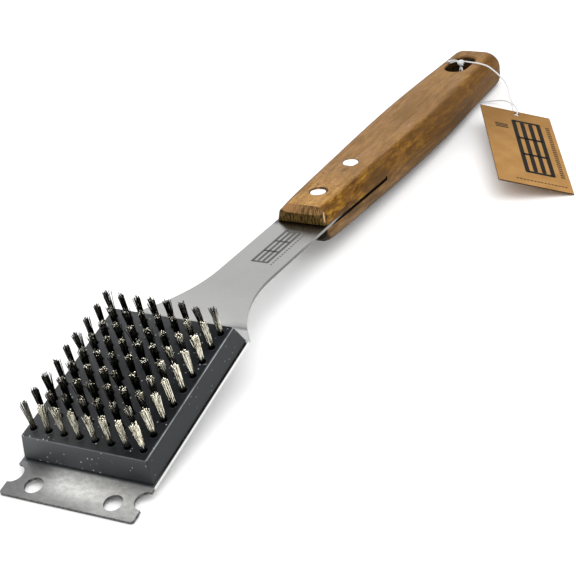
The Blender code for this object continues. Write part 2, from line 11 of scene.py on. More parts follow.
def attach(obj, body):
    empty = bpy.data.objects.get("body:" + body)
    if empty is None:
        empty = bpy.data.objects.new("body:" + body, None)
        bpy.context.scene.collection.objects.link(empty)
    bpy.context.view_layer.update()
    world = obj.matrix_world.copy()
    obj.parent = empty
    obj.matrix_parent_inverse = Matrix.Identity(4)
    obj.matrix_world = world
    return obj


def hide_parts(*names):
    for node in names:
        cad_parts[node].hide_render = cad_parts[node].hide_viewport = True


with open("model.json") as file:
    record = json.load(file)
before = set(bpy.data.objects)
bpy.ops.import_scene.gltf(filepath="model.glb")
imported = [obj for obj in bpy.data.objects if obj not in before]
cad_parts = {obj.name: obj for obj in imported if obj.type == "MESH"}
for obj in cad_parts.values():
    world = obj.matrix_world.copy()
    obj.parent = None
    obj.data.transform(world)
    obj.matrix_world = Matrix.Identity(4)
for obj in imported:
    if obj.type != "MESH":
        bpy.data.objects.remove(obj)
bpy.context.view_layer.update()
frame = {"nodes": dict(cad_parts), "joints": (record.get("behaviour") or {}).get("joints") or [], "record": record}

MM = 0.001
BRUSH, TAG = "brush", "tag"


# ---------------------------------------------------------------- frames of the object

def place_of_head():
    """Head frame: top of the blade is z = 0, x = 0 the middle, y = 0 the front row of tufts."""
    face = frame["record"]["mounts"][0]
    turn = math.atan2(face["axis"][1], -face["axis"][2])
    rotation = Matrix.Rotation(turn, 4, "X")
    return Matrix.Translation(face["pos_m"]) @ rotation @ Matrix.Translation((0, -FACE_Y, PLATE_T))


FACE_Y = 30.0 * MM                # where the record's flat face is measured, in the head frame
PLATE_T = 1.5 * MM
BEND_Y = 87.9 * MM
BEND_ANGLE = math.radians(15.9)
HEAD = place_of_head()
# Handle frame: y is the distance s from the bend, and z the height above the top of the tang.
HANDLE = HEAD @ Matrix.Translation((0, BEND_Y, 0)) @ Matrix.Rotation(-BEND_ANGLE, 4, "X")

# ---------------------------------------------------------------- camera

CAMERA_PLACE = (0.40452, -0.68415, 0.41703)
CAMERA_TURN = tuple(math.radians(a) for a in (61.0696, 7.2494, 27.7058))
CAMERA_LENS = 109.2
CAMERA_SHIFT = (-0.0012, -0.0021)


def make_camera():
    data = bpy.data.cameras.new("camera")
    data.sensor_width = 36.0
    data.lens = CAMERA_LENS
    data.shift_x, data.shift_y = CAMERA_SHIFT
    data.clip_start, data.clip_end = 0.01, 20.0
    camera = bpy.data.objects.new("camera", data)
    camera.location = CAMERA_PLACE
    camera.rotation_euler = CAMERA_TURN
    bpy.context.scene.collection.objects.link(camera)
    bpy.context.scene.camera = camera


# ---------------------------------------------------------------- mesh helpers

def new_piece(name, mesh, material, body):
    """Link a mesh as a piece that rides on a body."""
    mesh.materials.append(material)
    made = bpy.data.objects.new(name, mesh)
    bpy.context.scene.collection.objects.link(made)
    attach(made, body)
    return made


def mesh_of(name, points, faces, place=Matrix.Identity(4), smooth=True):
    mesh = bpy.data.meshes.new(name)
    mesh.from_pydata([tuple(p) for p in points], [], faces)
    mesh.transform(place)
    mesh.update()
    if smooth:
        mesh.shade_smooth()
    return mesh


def tube_rings(line, radius, sides):
    """Rings of points round a line of points, with a frame that doesn't spin."""
    line = np.array(line, float)
    ahead = np.gradient(line, axis=0)
    ahead /= np.linalg.norm(ahead, axis=1, keepdims=True)
    side = np.cross(ahead[0], (0.0, 0.0, 1.0) if abs(ahead[0][2]) < 0.9 else (1.0, 0.0, 0.0))
    rings = []
    radii = np.broadcast_to(radius, len(line))
    turns = 2 * np.pi * np.arange(sides) / sides
    for point, forward, r in zip(line, ahead, radii):
        side = side - forward * (side @ forward)
        side /= np.linalg.norm(side)
        up = np.cross(forward, side)
        rings.append(point + r * (np.outer(np.cos(turns), side) + np.outer(np.sin(turns), up)))
    return np.array(rings)


def circle(x, y, radius, z, sides):
    return [(x + radius * math.cos(2 * math.pi * i / sides),
             y + radius * math.sin(2 * math.pi * i / sides), z) for i in range(sides)]


def band(first, second, sides):
    """Faces between two rings, given by the number of each one's first point."""
    return [(first + i, first + (i + 1) % sides, second + (i + 1) % sides, second + i)
            for i in range(sides)]


def skin(rings, offset=0):
    """Faces between rings of equally many points, with a cap at each end."""
    count, sides = len(rings), len(rings[0])
    faces = []
    for k in range(count - 1):
        faces += band(offset + k * sides, offset + (k + 1) * sides, sides)
    faces.append(tuple(offset + i for i in reversed(range(sides))))
    faces.append(tuple(offset + (count - 1) * sides + i for i in range(sides)))
    return faces


def many_tubes(tubes):
    """Points and faces of several tubes, given as (line, radius, sides)."""
    points, faces = [], []
    for line, radius, sides in tubes:
        rings = tube_rings(line, radius, sides)
        faces += skin(rings, len(points))
        points += [tuple(p) for ring in rings for p in ring]
    return points, faces


def curve_through(route, step):
    """Evenly spaced points, in metres, on a smooth curve through a route in millimetres."""
    points = np.array(route, float) * MM
    padded = np.vstack((2 * points[0] - points[1], points, 2 * points[-1] - points[-2]))
    dense = []
    for a, b, c, d in zip(padded, padded[1:], padded[2:], padded[3:]):
        for t in np.linspace(0, 1, 20, endpoint=False):
            dense.append(0.5 * (2 * b + (c - a) * t + (2 * a - 5 * b + 4 * c - d) * t**2
                                + (3 * b - a - 3 * c + d) * t**3))
    dense = np.array(dense + [points[-1]])
    travelled = np.append(0, np.cumsum(np.linalg.norm(np.diff(dense, axis=0), axis=1)))
    stops = np.linspace(0, travelled[-1], round(travelled[-1] / step) + 1)
    return np.column_stack([np.interp(stops, travelled, axis) for axis in dense.T])


def edge_bevel(piece, width, segments=2, angle=35):
    bevel = piece.modifiers.new("edges", "BEVEL")
    bevel.width = width
    bevel.segments = segments
    bevel.limit_method = "ANGLE"
    bevel.angle_limit = math.radians(angle)
    bevel.harden_normals = True


def carve(piece, cutters, use_self=False):
    """Cut solids out of a piece for good. Returns its new mesh."""
    for cutter in cutters:
        boolean = piece.modifiers.new(cutter.name, "BOOLEAN")
        boolean.operation = "DIFFERENCE"
        boolean.solver = "EXACT"
        boolean.use_self = use_self
        boolean.object = cutter
    graph = bpy.context.evaluated_depsgraph_get()
    carved = bpy.data.meshes.new_from_object(piece.evaluated_get(graph))
    piece.modifiers.clear()
    piece.data = carved
    for cutter in cutters:
        bpy.data.objects.remove(cutter, do_unlink=True)
    return carved


def repaint(node, material):
    """Give a carried-over CAD node its material."""
    piece = frame["nodes"][node]
    piece.data.materials.clear()
    piece.data.materials.append(material)
    return piece


# ---------------------------------------------------------------- string

STRING_ROUTE = ((1.9, 200.8, 23.0), (5.7, 199.8, 23.2), (11.2, 200.0, 22.7), (15.8, 201.8, 20.6),
                (20.4, 200.0, 18.9), (25.3, 196.5, 17.5), (30.6, 191.9, 15.8),
                (34.6, 186.3, 14.1), (38.2, 179.4, 12.4), (42.0, 173.8, 11.2),
                (45.2, 170.9, 10.3), (46.6, 168.9, 9.4), (47.0, 167.6, 8.5),
                (46.75, 166.86, 7.28), (45.9, 167.2, 5.7), (44.6, 168.9, 5.0),
                (42.9, 172.0, 4.7), (40.6, 176.8, 4.9), (38.2, 182.0, 5.0), (35.6, 186.6, 4.8),
                (32.2, 190.2, 4.3), (28.0, 192.7, 3.5), (22.6, 194.4, 2.2), (16.8, 194.6, 1.1),
                (12.4, 194.0, 0.65), (8.8, 193.6, 0.6), (5.9, 193.7, 1.1), (3.9, 194.2, 2.9),
                (2.8, 195.1, 6.0), (2.0, 196.8, 11.0), (1.0, 198.8, 16.0), (0.0, 200.2, 19.3))
STRAND_RADIUS = 0.25 * MM
STRAND_ORBIT = 0.25 * MM
STRAND_PITCH = 3.2 * MM
KNOT_CENTRE = (-0.6, 200.9, 22.0)
KNOT_TURNS = 3.4
KNOT_LENGTH = 2.9                 # mm, like the routes
KNOT_RADIUS = 1.5
KNOT_CORE_HALF_LENGTH = 1.7
KNOT_FIBRES = 9
TAIL_ROUTE = ((-1.2, 200.8, 22.4), (-3.6, 200.1, 23.4), (-5.8, 199.3, 23.5), (-7.9, 198.4, 23.35))
TAIL_FIBRES = 46


def strand_lines(line, strands, orbit, pitch):
    """Centrelines of strands laid round a line."""
    rings = tube_rings(line, orbit, strands)
    step = np.linalg.norm(line[1] - line[0])
    lines = []
    for start in range(strands):
        twisted = []
        for k, (centre, ring) in enumerate(zip(line, rings)):
            turn = 2 * math.pi * k * step / pitch + 2 * math.pi * start / strands
            first, second = ring[0] - centre, np.cross(line_ahead(line, k), ring[0] - centre)
            twisted.append(centre + math.cos(turn) * first + math.sin(turn) * second)
        lines.append(np.array(twisted))
    return lines


def line_ahead(line, k):
    ahead = line[min(k + 1, len(line) - 1)] - line[max(k - 1, 0)]
    return ahead / np.linalg.norm(ahead)


def make_string():
    """The twisted string, its knot and its frayed tail."""
    draw = np.random.default_rng(7)
    line = curve_through(STRING_ROUTE, 0.35 * MM)
    strands = [(strand, STRAND_RADIUS, 6)
               for strand in strand_lines(line, 3, STRAND_ORBIT, STRAND_PITCH)]
    points, faces = many_tubes(strands)
    string = new_piece("string", mesh_of("string", points, faces), COTTON, BRUSH)
    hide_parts("tag_string")

    knot_points = []
    centre = np.array(KNOT_CENTRE)
    for t in np.linspace(0, 1, 170):
        turn = 2 * math.pi * KNOT_TURNS * t
        bulge = KNOT_RADIUS * math.sin(math.pi * (0.12 + 0.76 * t)) ** 0.5
        knot_points.append(centre + (KNOT_LENGTH * (t - 0.5) + 0.4 * math.sin(2 * turn),
                                     bulge * math.cos(turn), bulge * math.sin(turn) - 0.25))
    knot_line = np.array(knot_points) * MM
    reach = KNOT_CORE_HALF_LENGTH
    core = np.linspace(centre + (-reach, 0, -0.2), centre + (reach, 0, -0.2), 8) * MM
    tubes = [(strand, 0.28 * MM, 6) for strand in strand_lines(knot_line, 3, 0.27 * MM, 3 * MM)]
    tubes.append((core, 1.0 * MM, 10))
    below = centre + np.array(((0.2, -0.4, -1.2), (0.3, -0.7, -2.4), (0.4, -1.3, -3.8)))
    for _ in range(KNOT_FIBRES):
        swing = draw.normal(0, 0.42, 3)
        strand = curve_through(below + np.outer((0.6, 1.0, 1.3), swing), 0.4 * MM)
        tubes.append((strand, 0.17 * MM, 5))
    tail = curve_through(TAIL_ROUTE, 0.4 * MM)
    along = np.linspace(0, 1, len(tail))[:, None]
    for _ in range(TAIL_FIBRES):
        spread = draw.normal(0, 0.34, 3) * MM
        fray = draw.normal(0, 0.50, 3) * MM
        reach = draw.uniform(0.75, 1.0)
        fibre = tail[0] + (tail - tail[0]) * reach + spread * along**0.3 + fray * along**2.2
        tubes.append((fibre, draw.uniform(0.09, 0.15) * MM, 4))
    points, faces = many_tubes(tubes)
    knot = new_piece("knot_and_tail", mesh_of("knot_and_tail", points, faces), COTTON, BRUSH)
    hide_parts("string_knot")


# ---------------------------------------------------------------- bristles

COLUMNS, ROWS = 8, 9
COLUMN_PITCH = 8.0 * MM
ROW_PITCH = 8.9 * MM
BLOCK_HEIGHT = 12.4 * MM
TUFT_HEIGHT = 15.3 * MM
WIRES = 32
WIRE_RADIUS = 0.17 * MM
WIRE_SUNK = 1.0 * MM              # how far each wire starts below the block's top
BUNDLE_RADIUS = 1.16 * MM
GOLDEN_ANGLE = 2.39996            # spreads the wires of a bundle evenly
COLLAR_SIDES = 28
# Closed outline of a collar, as (radius, height above the block) in mm.
COLLAR_PROFILE = ((2.25, -0.05), (2.15, 0.08), (2.02, 0.16), (1.86, 0.18), (1.70, 0.12),
                  (1.60, -0.05), (1.56, -0.5), (1.66, -0.5), (1.68, -0.06))


def tuft_places(row):
    return [((column - (COLUMNS - 1) / 2) * COLUMN_PITCH, row * ROW_PITCH)
            for column in range(COLUMNS)]


def tuft_wires(draw, x, y):
    """Wires of one bundle: packed at the root, slightly fanned and uneven at the tip."""
    bundle_lean = draw.normal(0, 0.022, 2)
    fan = draw.uniform(1.18, 1.50)
    wires = []
    for k in range(WIRES):
        radius = BUNDLE_RADIUS * math.sqrt((k + 0.5) / WIRES)
        turn = k * GOLDEN_ANGLE + draw.normal(0, 0.25)
        root = np.array((radius * math.cos(turn), radius * math.sin(turn)))
        stray = 1.0 + (draw.uniform(0.3, 1.1) if draw.random() < 0.09 else 0.0)
        tip = root * fan * stray + draw.normal(0, 0.22, 2) * MM
        height = TUFT_HEIGHT - draw.uniform(0.0, 1.6) * MM
        wave = draw.normal(0, 0.05, 2) * MM
        line = []
        for t in (0.0, 0.22, 0.45, 0.68, 0.86, 1.0):
            rise = -WIRE_SUNK + (height + WIRE_SUNK) * t
            across = root + (tip - root) * t**1.4 + bundle_lean * rise
            across = across + wave * math.sin(2.2 * math.pi * t)
            line.append((x + across[0], y + across[1], BLOCK_HEIGHT + rise))
        wires.append((line, WIRE_RADIUS, 6))
    return wires


def make_tufts():
    draw = np.random.default_rng(21)
    for row in range(ROWS):
        wires = []
        for x, y in tuft_places(row):
            wires += tuft_wires(draw, x, y)
        points, faces = many_tubes(wires)
        name = f"bristles_{row + 1}"
        mesh = mesh_of(name, points, faces, HEAD)
        mesh.set_sharp_from_angle(angle=math.radians(60))
        piece = new_piece(name, mesh, WIRE, BRUSH)
        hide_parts(f"tuft_row_{row + 1}")


def make_collars():
    """A low moulded rim round the mouth of each hole, with a short skirt down into it."""
    points, faces = [], []
    sides, levels = COLLAR_SIDES, len(COLLAR_PROFILE)
    for row in range(ROWS):
        for x, y in tuft_places(row):
            offset = len(points)
            for radius, z in COLLAR_PROFILE:
                points += circle(x, y, radius * MM, BLOCK_HEIGHT + z * MM, sides)
            for k in range(levels):
                faces += band(offset + k * sides, offset + (k + 1) % levels * sides, sides)
    new_piece("hole_rims", mesh_of("hole_rims", points, faces, HEAD), RIM_PLASTIC, BRUSH)


# ---------------------------------------------------------------- handle

NOSE_S = 109.4 * MM
HANDLE_END_S = 347.0 * MM
HANDLE_TOP_AT_NOSE = 8.82 * MM
HANDLE_TOP_SLOPE = 0.018
TOP_CHAMFER = (5.5 * MM, 4.8 * MM)
BOTTOM_CHAMFER = (3.4 * MM, 3.4 * MM)
# Half-width, and depth of the underside below the tang, as (distance s, size) in mm.
HANDLE_SWELL = ((109, 14.0), (124, 15.3), (144, 16.1), (176, 17.0), (208, 17.9), (240, 18.4),
                (264, 18.1), (290, 17.2), (320, 15.8), (347, 14.6))
HANDLE_BELLY = ((109, 10.9), (190, 10.9), (250, 9.9), (300, 8.7), (347, 8.7))
NOSE_BEVEL_LENGTH = 3.0 * MM
NOSE_FRONT_HEIGHT = 5.2 * MM
END_ROUND_LENGTH = 11.0 * MM
END_ROUND_SIDE = 6.2 * MM
END_ROUND_TOP = 11.5 * MM
END_ROUND_BOTTOM = 5.0 * MM
END_ROUND_EARLY = 0.8              # below 1, the top starts to fall sooner than the sides
CORNER_EASE = (1.6 * MM, 4.4 * MM)
CORNER_EASE_S = (200 * MM, 325 * MM)
CORNER_EASE_SHARE = 0.48           # of the shorter edge next to a corner
NOSE_CHIP = (Vector((11.6, 111.9, 5.4)) * MM, Vector((12.7, 110.3, 2.6)) * MM)
WOOD_KNOT_STRETCH = (1, 0.5, 0)    # seen from above, with the length along the handle halved
WOOD_KNOT = (1.4 * MM, 0.5 * 157 * MM, 0)
RIVET_SHADE = (0.2 * MM, 129.9 * MM, 0)
KERF_END_S = 174.4 * MM
KERF_GAP = 0.15 * MM
KERF_NOTCH_LENGTH = 1.5 * MM
KERF_NOTCH_RISE = 0.6 * MM
GAP = 0.3 * MM
CUT_REACH = 0.03                   # half a cutter's size, past the handle on every side
HANG_HOLE_S = (302.4 * MM, 327.2 * MM)
HANG_HOLE_HALF_WIDTH = 6.1 * MM
HANG_HOLE_EASING = 1.5 * MM
RIVET_S = (129.2 * MM, 167.1 * MM)
RIVET_RECESS = (0.35 * MM, 0.0)    # of each head on top, front one first
RIVET_RECESS_BELOW = 0.3 * MM
RIVET_SEAT_GAP = 0.15 * MM
RIVET_HEAD_RADIUS = 4.35 * MM
RIVET_HEAD_T = 1.6 * MM
RIVET_TUBE_RADIUS = 3.0 * MM


def smooth(table, at):
    """Value at a distance, in millimetres, on a smooth curve through a short table of points."""
    x = np.array([row[0] for row in table], float)
    y = np.array([row[1] for row in table], float)
    slope = np.gradient(y, x)
    i = int(np.clip(np.searchsorted(x, at) - 1, 0, len(x) - 2))
    h = x[i + 1] - x[i]
    t = (min(max(at, x[0]), x[-1]) - x[i]) / h
    return float((2 * t**3 - 3 * t**2 + 1) * y[i] + (t**3 - 2 * t**2 + t) * h * slope[i]
                 + (3 * t**2 - 2 * t**3) * y[i + 1] + (t**3 - t**2) * h * slope[i + 1])


def handle_top(s):
    return HANDLE_TOP_AT_NOSE + HANDLE_TOP_SLOPE * (s - NOSE_S)


def handle_bottom(s):
    return -smooth(HANDLE_BELLY, s / MM) * MM


def corner_ease(s):
    start, end = CORNER_EASE_S
    share = min(max((s - start) / (end - start), 0.0), 1.0)
    return CORNER_EASE[0] + share * (CORNER_EASE[1] - CORNER_EASE[0])


def handle_ring(s, side_inset=0.0, top_inset=0.0, bottom_inset=0.0):
    """Octagon across the handle at distance s, with each corner rounded by a short curve."""
    full = smooth(HANDLE_SWELL, s / MM) * MM
    w = full - side_inset
    top = handle_top(s) - top_inset
    bottom = handle_bottom(s) + bottom_inset
    squeeze = w / full
    tx, tz = TOP_CHAMFER[0] * squeeze, TOP_CHAMFER[1] * squeeze
    bx, bz = BOTTOM_CHAMFER[0] * squeeze, BOTTOM_CHAMFER[1] * squeeze
    corners = [(w - bx, bottom), (w, bottom + bz), (w, top - tz), (w - tx, top)]
    corners += [(-x, z) for x, z in reversed(corners)]
    ring = []
    for i, corner in enumerate(corners):
        corner = np.array(corner)
        before, after = np.array(corners[i - 1]) - corner, np.array(corners[(i + 1) % 8]) - corner
        legs = np.linalg.norm(before), np.linalg.norm(after)
        ease = min(corner_ease(s), CORNER_EASE_SHARE * min(legs))
        start, end = corner + before / legs[0] * ease, corner + after / legs[1] * ease
        for t in np.linspace(0, 1, 7):
            x, z = (1 - t)**2 * start + 2 * t * (1 - t) * corner + t**2 * end
            ring.append((x, s, z))
    return ring


def make_handle():
    rings = [handle_ring(NOSE_S, 0.9 * MM, 3.6 * MM, 5.0 * MM),
             handle_ring(NOSE_S + 0.25 * NOSE_BEVEL_LENGTH, 0.3 * MM, 2.4 * MM, 2.6 * MM),
             handle_ring(NOSE_S + NOSE_BEVEL_LENGTH, 0.0, 0.0, 0.8 * MM),
             handle_ring(NOSE_S + 2 * NOSE_BEVEL_LENGTH)]
    body_end = HANDLE_END_S - END_ROUND_LENGTH
    rings += [handle_ring(s) for s in np.linspace(NOSE_S + 4 * NOSE_BEVEL_LENGTH, body_end, 60)]
    for turn in np.radians(np.linspace(8, 90, 14)):
        inset = 1 - math.cos(turn)
        rings.append(handle_ring(body_end + END_ROUND_LENGTH * math.sin(turn),
                                 END_ROUND_SIDE * inset, END_ROUND_TOP * inset**END_ROUND_EARLY,
                                 END_ROUND_BOTTOM * inset))
    points = [p for ring in rings for p in ring]
    wood = new_piece("wooden_handle", mesh_of("wooden_handle", points, skin(rings), HANDLE), WOOD,
                     BRUSH)
    carved = carve(wood, [kerf_cutter(), rivet_cutter(), hole_cutter()])
    edge_bevel(wood, 0.25 * MM, 2, 22)
    weld = wood.modifiers.new("weld", "WELD")      # the bevel leaves a few faces with no area
    weld.merge_threshold = 0.004 * MM
    carved.shade_smooth()
    carved.set_sharp_from_angle(angle=math.radians(28))
    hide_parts("handle")


def cutter_from(name, *stacks):
    """A solid to cut the handle with, from stacks of rings in its frame."""
    bm = bmesh.new()
    for rings in stacks:
        verts = [bm.verts.new(p) for ring in rings for p in ring]
        for face in skin(rings):
            bm.faces.new([verts[i] for i in face])
    bmesh.ops.recalc_face_normals(bm, faces=bm.faces)
    mesh = bpy.data.meshes.new(name)
    bm.to_mesh(mesh)
    bm.free()
    mesh.transform(HANDLE)
    made = bpy.data.objects.new(name, mesh)
    bpy.context.scene.collection.objects.link(made)
    return made


def kerf_cutter():
    """The saw cut for the tang, with the taller run-out at its end."""
    low = -PLATE_T - KERF_GAP
    ahead = NOSE_S - 10 * MM
    outline = [(ahead, low), (KERF_END_S + GAP, low),
               (KERF_END_S + GAP, KERF_GAP + KERF_NOTCH_RISE),
               (KERF_END_S - KERF_NOTCH_LENGTH, KERF_GAP + KERF_NOTCH_RISE),
               (KERF_END_S - KERF_NOTCH_LENGTH, KERF_GAP), (ahead, KERF_GAP)]
    return cutter_from("kerf", [[(x, s, z) for s, z in outline] for x in (-CUT_REACH, CUT_REACH)])


def rivet_cutter():
    """The bores and the seats for the rivets' heads."""
    stacks = []
    for s, recess in zip(RIVET_S, RIVET_RECESS):
        top = handle_top(s) - recess - RIVET_HEAD_T - GAP
        bottom = handle_bottom(s) + RIVET_RECESS_BELOW + RIVET_HEAD_T + GAP
        seat, bore = RIVET_HEAD_RADIUS + RIVET_SEAT_GAP, RIVET_TUBE_RADIUS + GAP
        profile = ((seat, -CUT_REACH), (seat, bottom), (bore, bottom), (bore, top), (seat, top),
                   (seat, CUT_REACH))
        stacks.append([circle(0.0, s, r, z, 48) for r, z in profile])
    return cutter_from("rivet_seats", *stacks)


def hole_cutter():
    """The oblong hanging hole, with its mouths eased by a quarter round."""
    front, rear = HANG_HOLE_S
    middle = (front + rear) / 2
    top, bottom = handle_top(middle), handle_bottom(middle)
    ease, past = HANG_HOLE_EASING, 3 * MM
    quarter = [math.radians(a) for a in (0, 18, 36, 54, 72, 90)]
    levels = [(bottom - past, past + ease)]
    levels += [(bottom + ease * (1 - math.cos(a)), ease * (1 - math.sin(a))) for a in quarter]
    levels += [(top - ease * (1 - math.cos(a)), ease * (1 - math.sin(a))) for a in quarter[::-1]]
    levels += [(top + past, past + ease)]
    rings = []
    for z, grow in levels:
        radius = HANG_HOLE_HALF_WIDTH + grow
        ring = []
        for centre, start in ((rear - HANG_HOLE_HALF_WIDTH, 0),
                              (front + HANG_HOLE_HALF_WIDTH, 180)):
            for angle in np.radians(np.linspace(start, start + 180, 15)):
                ring.append((radius * math.cos(angle), centre + radius * math.sin(angle), z))
        rings.append(ring)
    return cutter_from("hanging_hole", rings)


# ---------------------------------------------------------------- screws

SCREW_X = 2 * COLUMN_PITCH
SCREW_Y = (1.5 * ROW_PITCH, 6.5 * ROW_PITCH)
SCREW_HEAD_RADIUS = 3.5 * MM
SCREW_HEAD_HEIGHT = 2.1 * MM
SCREW_SHANK = ((0.7 * MM, 6.5 * MM), (1.75 * MM, 5.7 * MM))      # (radius, height) at its tip
CROSS_SIZE = (4.0 * MM, 0.75 * MM, 2.6 * MM)
CROSS_TAPER = 0.45
CROSS_TURN = 31                   # degrees from one screw to the next


def make_screw(number, x, y):
    """Pan head with a cross recess, under the blade, and the first stretch of its shank."""
    under = -PLATE_T - GAP
    dome = [(SCREW_HEAD_RADIUS * math.cos(a) ** 0.55, under - SCREW_HEAD_HEIGHT * math.sin(a))
            for a in np.radians((0, 12, 26, 42, 58, 72, 84))]
    profile = [*SCREW_SHANK, (SCREW_SHANK[1][0], under)] + dome
    rings = [circle(x, y, r, z, 32) for r, z in profile]
    points = [p for ring in rings for p in ring]
    mesh = mesh_of(f"screw_{number}", points, skin(rings))
    bm = bmesh.new()
    bm.from_mesh(mesh)
    bmesh.ops.recalc_face_normals(bm, faces=bm.faces)
    bm.to_mesh(mesh)
    bm.free()
    screw = new_piece(f"screw_{number}", mesh, ZINC, BRUSH)
    recess = bmesh.new()
    tip = under - SCREW_HEAD_HEIGHT
    for turn in (0.0, 90.0):
        spin = Matrix.Rotation(math.radians(turn + CROSS_TURN * number), 4, "Z")
        arm = bmesh.ops.create_cube(recess, size=1.0, matrix=Matrix.Translation((x, y, tip)) @ spin
                                    @ Matrix.Diagonal((*CROSS_SIZE, 1.0)))
        for vert in arm["verts"]:
            if vert.co.z > tip:
                vert.co.x = x + (vert.co.x - x) * CROSS_TAPER
                vert.co.y = y + (vert.co.y - y) * CROSS_TAPER
    cross_mesh = bpy.data.meshes.new("cross")
    recess.to_mesh(cross_mesh)
    recess.free()
    cross = bpy.data.objects.new("cross", cross_mesh)
    bpy.context.scene.collection.objects.link(cross)
    cut_mesh = carve(screw, [cross], use_self=True)
    cut_mesh.transform(HEAD)
    cut_mesh.shade_smooth()
    cut_mesh.set_sharp_from_angle(angle=math.radians(35))
    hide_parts(f"block_screw_{number}")


def make_screws():
    places = [(side * SCREW_X, y) for y in SCREW_Y for side in (-1, 1)]
    for number, (x, y) in enumerate(places, 1):
        make_screw(number, x, y)


# ---------------------------------------------------------------- markings

ETCHING_T = 0.015 * MM
PRINT_T = 0.03 * MM


def raised_bars(name, bars, thickness, place, material, body):
    """Thin rounded bars, each (centre x, centre y, size along x, size along y, corner) in mm."""
    points, faces = [], []
    for cx, cy, across, along, corner in np.array(bars) * MM:
        ring = []
        for qx, qy, start in ((1, 1, 0), (-1, 1, 90), (-1, -1, 180), (1, -1, 270)):
            mx = cx + qx * (across / 2 - corner)
            my = cy + qy * (along / 2 - corner)
            for angle in np.radians(np.linspace(start, start + 90, 5)):
                ring.append((mx + corner * math.cos(angle), my + corner * math.sin(angle)))
        rings = [[(x, y, z) for x, y in ring] for z in (0.0, thickness)]
        faces += skin(rings, len(points))
        points += [p for level in rings for p in level]
    mesh = mesh_of(name, points, faces, place, smooth=False)
    return new_piece(name, mesh, material, body)


def grate_motif(centre_x, start, length, width, rods, thickness):
    """A plain grill grate: rods along y, tied by four cross rails, from y = start."""
    pitch = (width - thickness) / (rods - 1)
    made = [(centre_x - width / 2 + thickness / 2 + pitch * k, start + length / 2, thickness,
             length - 2 * thickness * (k not in (0, rods - 1)), thickness * 0.45)
            for k in range(rods)]
    made += [(centre_x, start + thickness / 2 + share * (length - thickness), width - thickness,
              thickness, thickness * 0.1) for share in (0.0, 0.34, 0.66, 1.0)]
    return made


def make_neck_etching():
    motif = grate_motif(centre_x=0.8, start=63.0, length=37.0, width=9.8, rods=4, thickness=1.5)
    dashes = [(7.8, 62.5 + 2.3 * k, 0.8, 1.4, 0.2) for k in range(16)]
    raised_bars("neck_etching", motif + dashes, ETCHING_T, HANDLE, ETCHING, BRUSH)


# ---------------------------------------------------------------- tag

TAG_WIDTH = 41.0 * MM
TAG_T = 0.6 * MM
TAG_HOLE_INSET = 4.6 * MM
TAG_HOLE_OFFSET = 0.5 * MM
TAG_HEADING = math.radians(27.8)
TAG_TILT = math.radians(19.7)


def tag_face():
    """Frame on the tag's upper face: x to the right, y towards its hole, origin at its corner."""
    pivot = next(j for j in frame["joints"] if j["name"] == "tag_swing")["pos_m"]
    turn = Matrix.Rotation(TAG_HEADING, 4, "Z") @ Matrix.Rotation(TAG_TILT, 4, "Y")
    corner = (-TAG_WIDTH / 2 - TAG_HOLE_OFFSET, TAG_HOLE_INSET, TAG_T / 2)
    return Matrix.Translation(pivot) @ turn @ Matrix.Translation(corner)


def make_tag_print():
    face = tag_face()
    motif = grate_motif(centre_x=25.0, start=-83.2, length=70.0, width=16.8, rods=4,
                        thickness=2.5)
    icon = [(9.9, -22.4 - 2.1 * k, 7.4, 1.2, 0.3) for k in range(3)]
    rule = [(11.0 + 1.9 * k, -93.0, 1.4, 1.0, 0.25) for k in range(15)]
    raised_bars("tag_print", motif + icon + rule, PRINT_T, face, PRINT_INK, TAG)
    dashes = [(37.5, -81.2 + 2.7 * k, 2.4, 1.7, 0.3) for k in range(25)]
    raised_bars("tag_small_print", dashes, PRINT_T, face, FAINT_INK, TAG)


# ---------------------------------------------------------------- materials
# Tones tied to a place or a direction stand in for the light of the photographed scene.

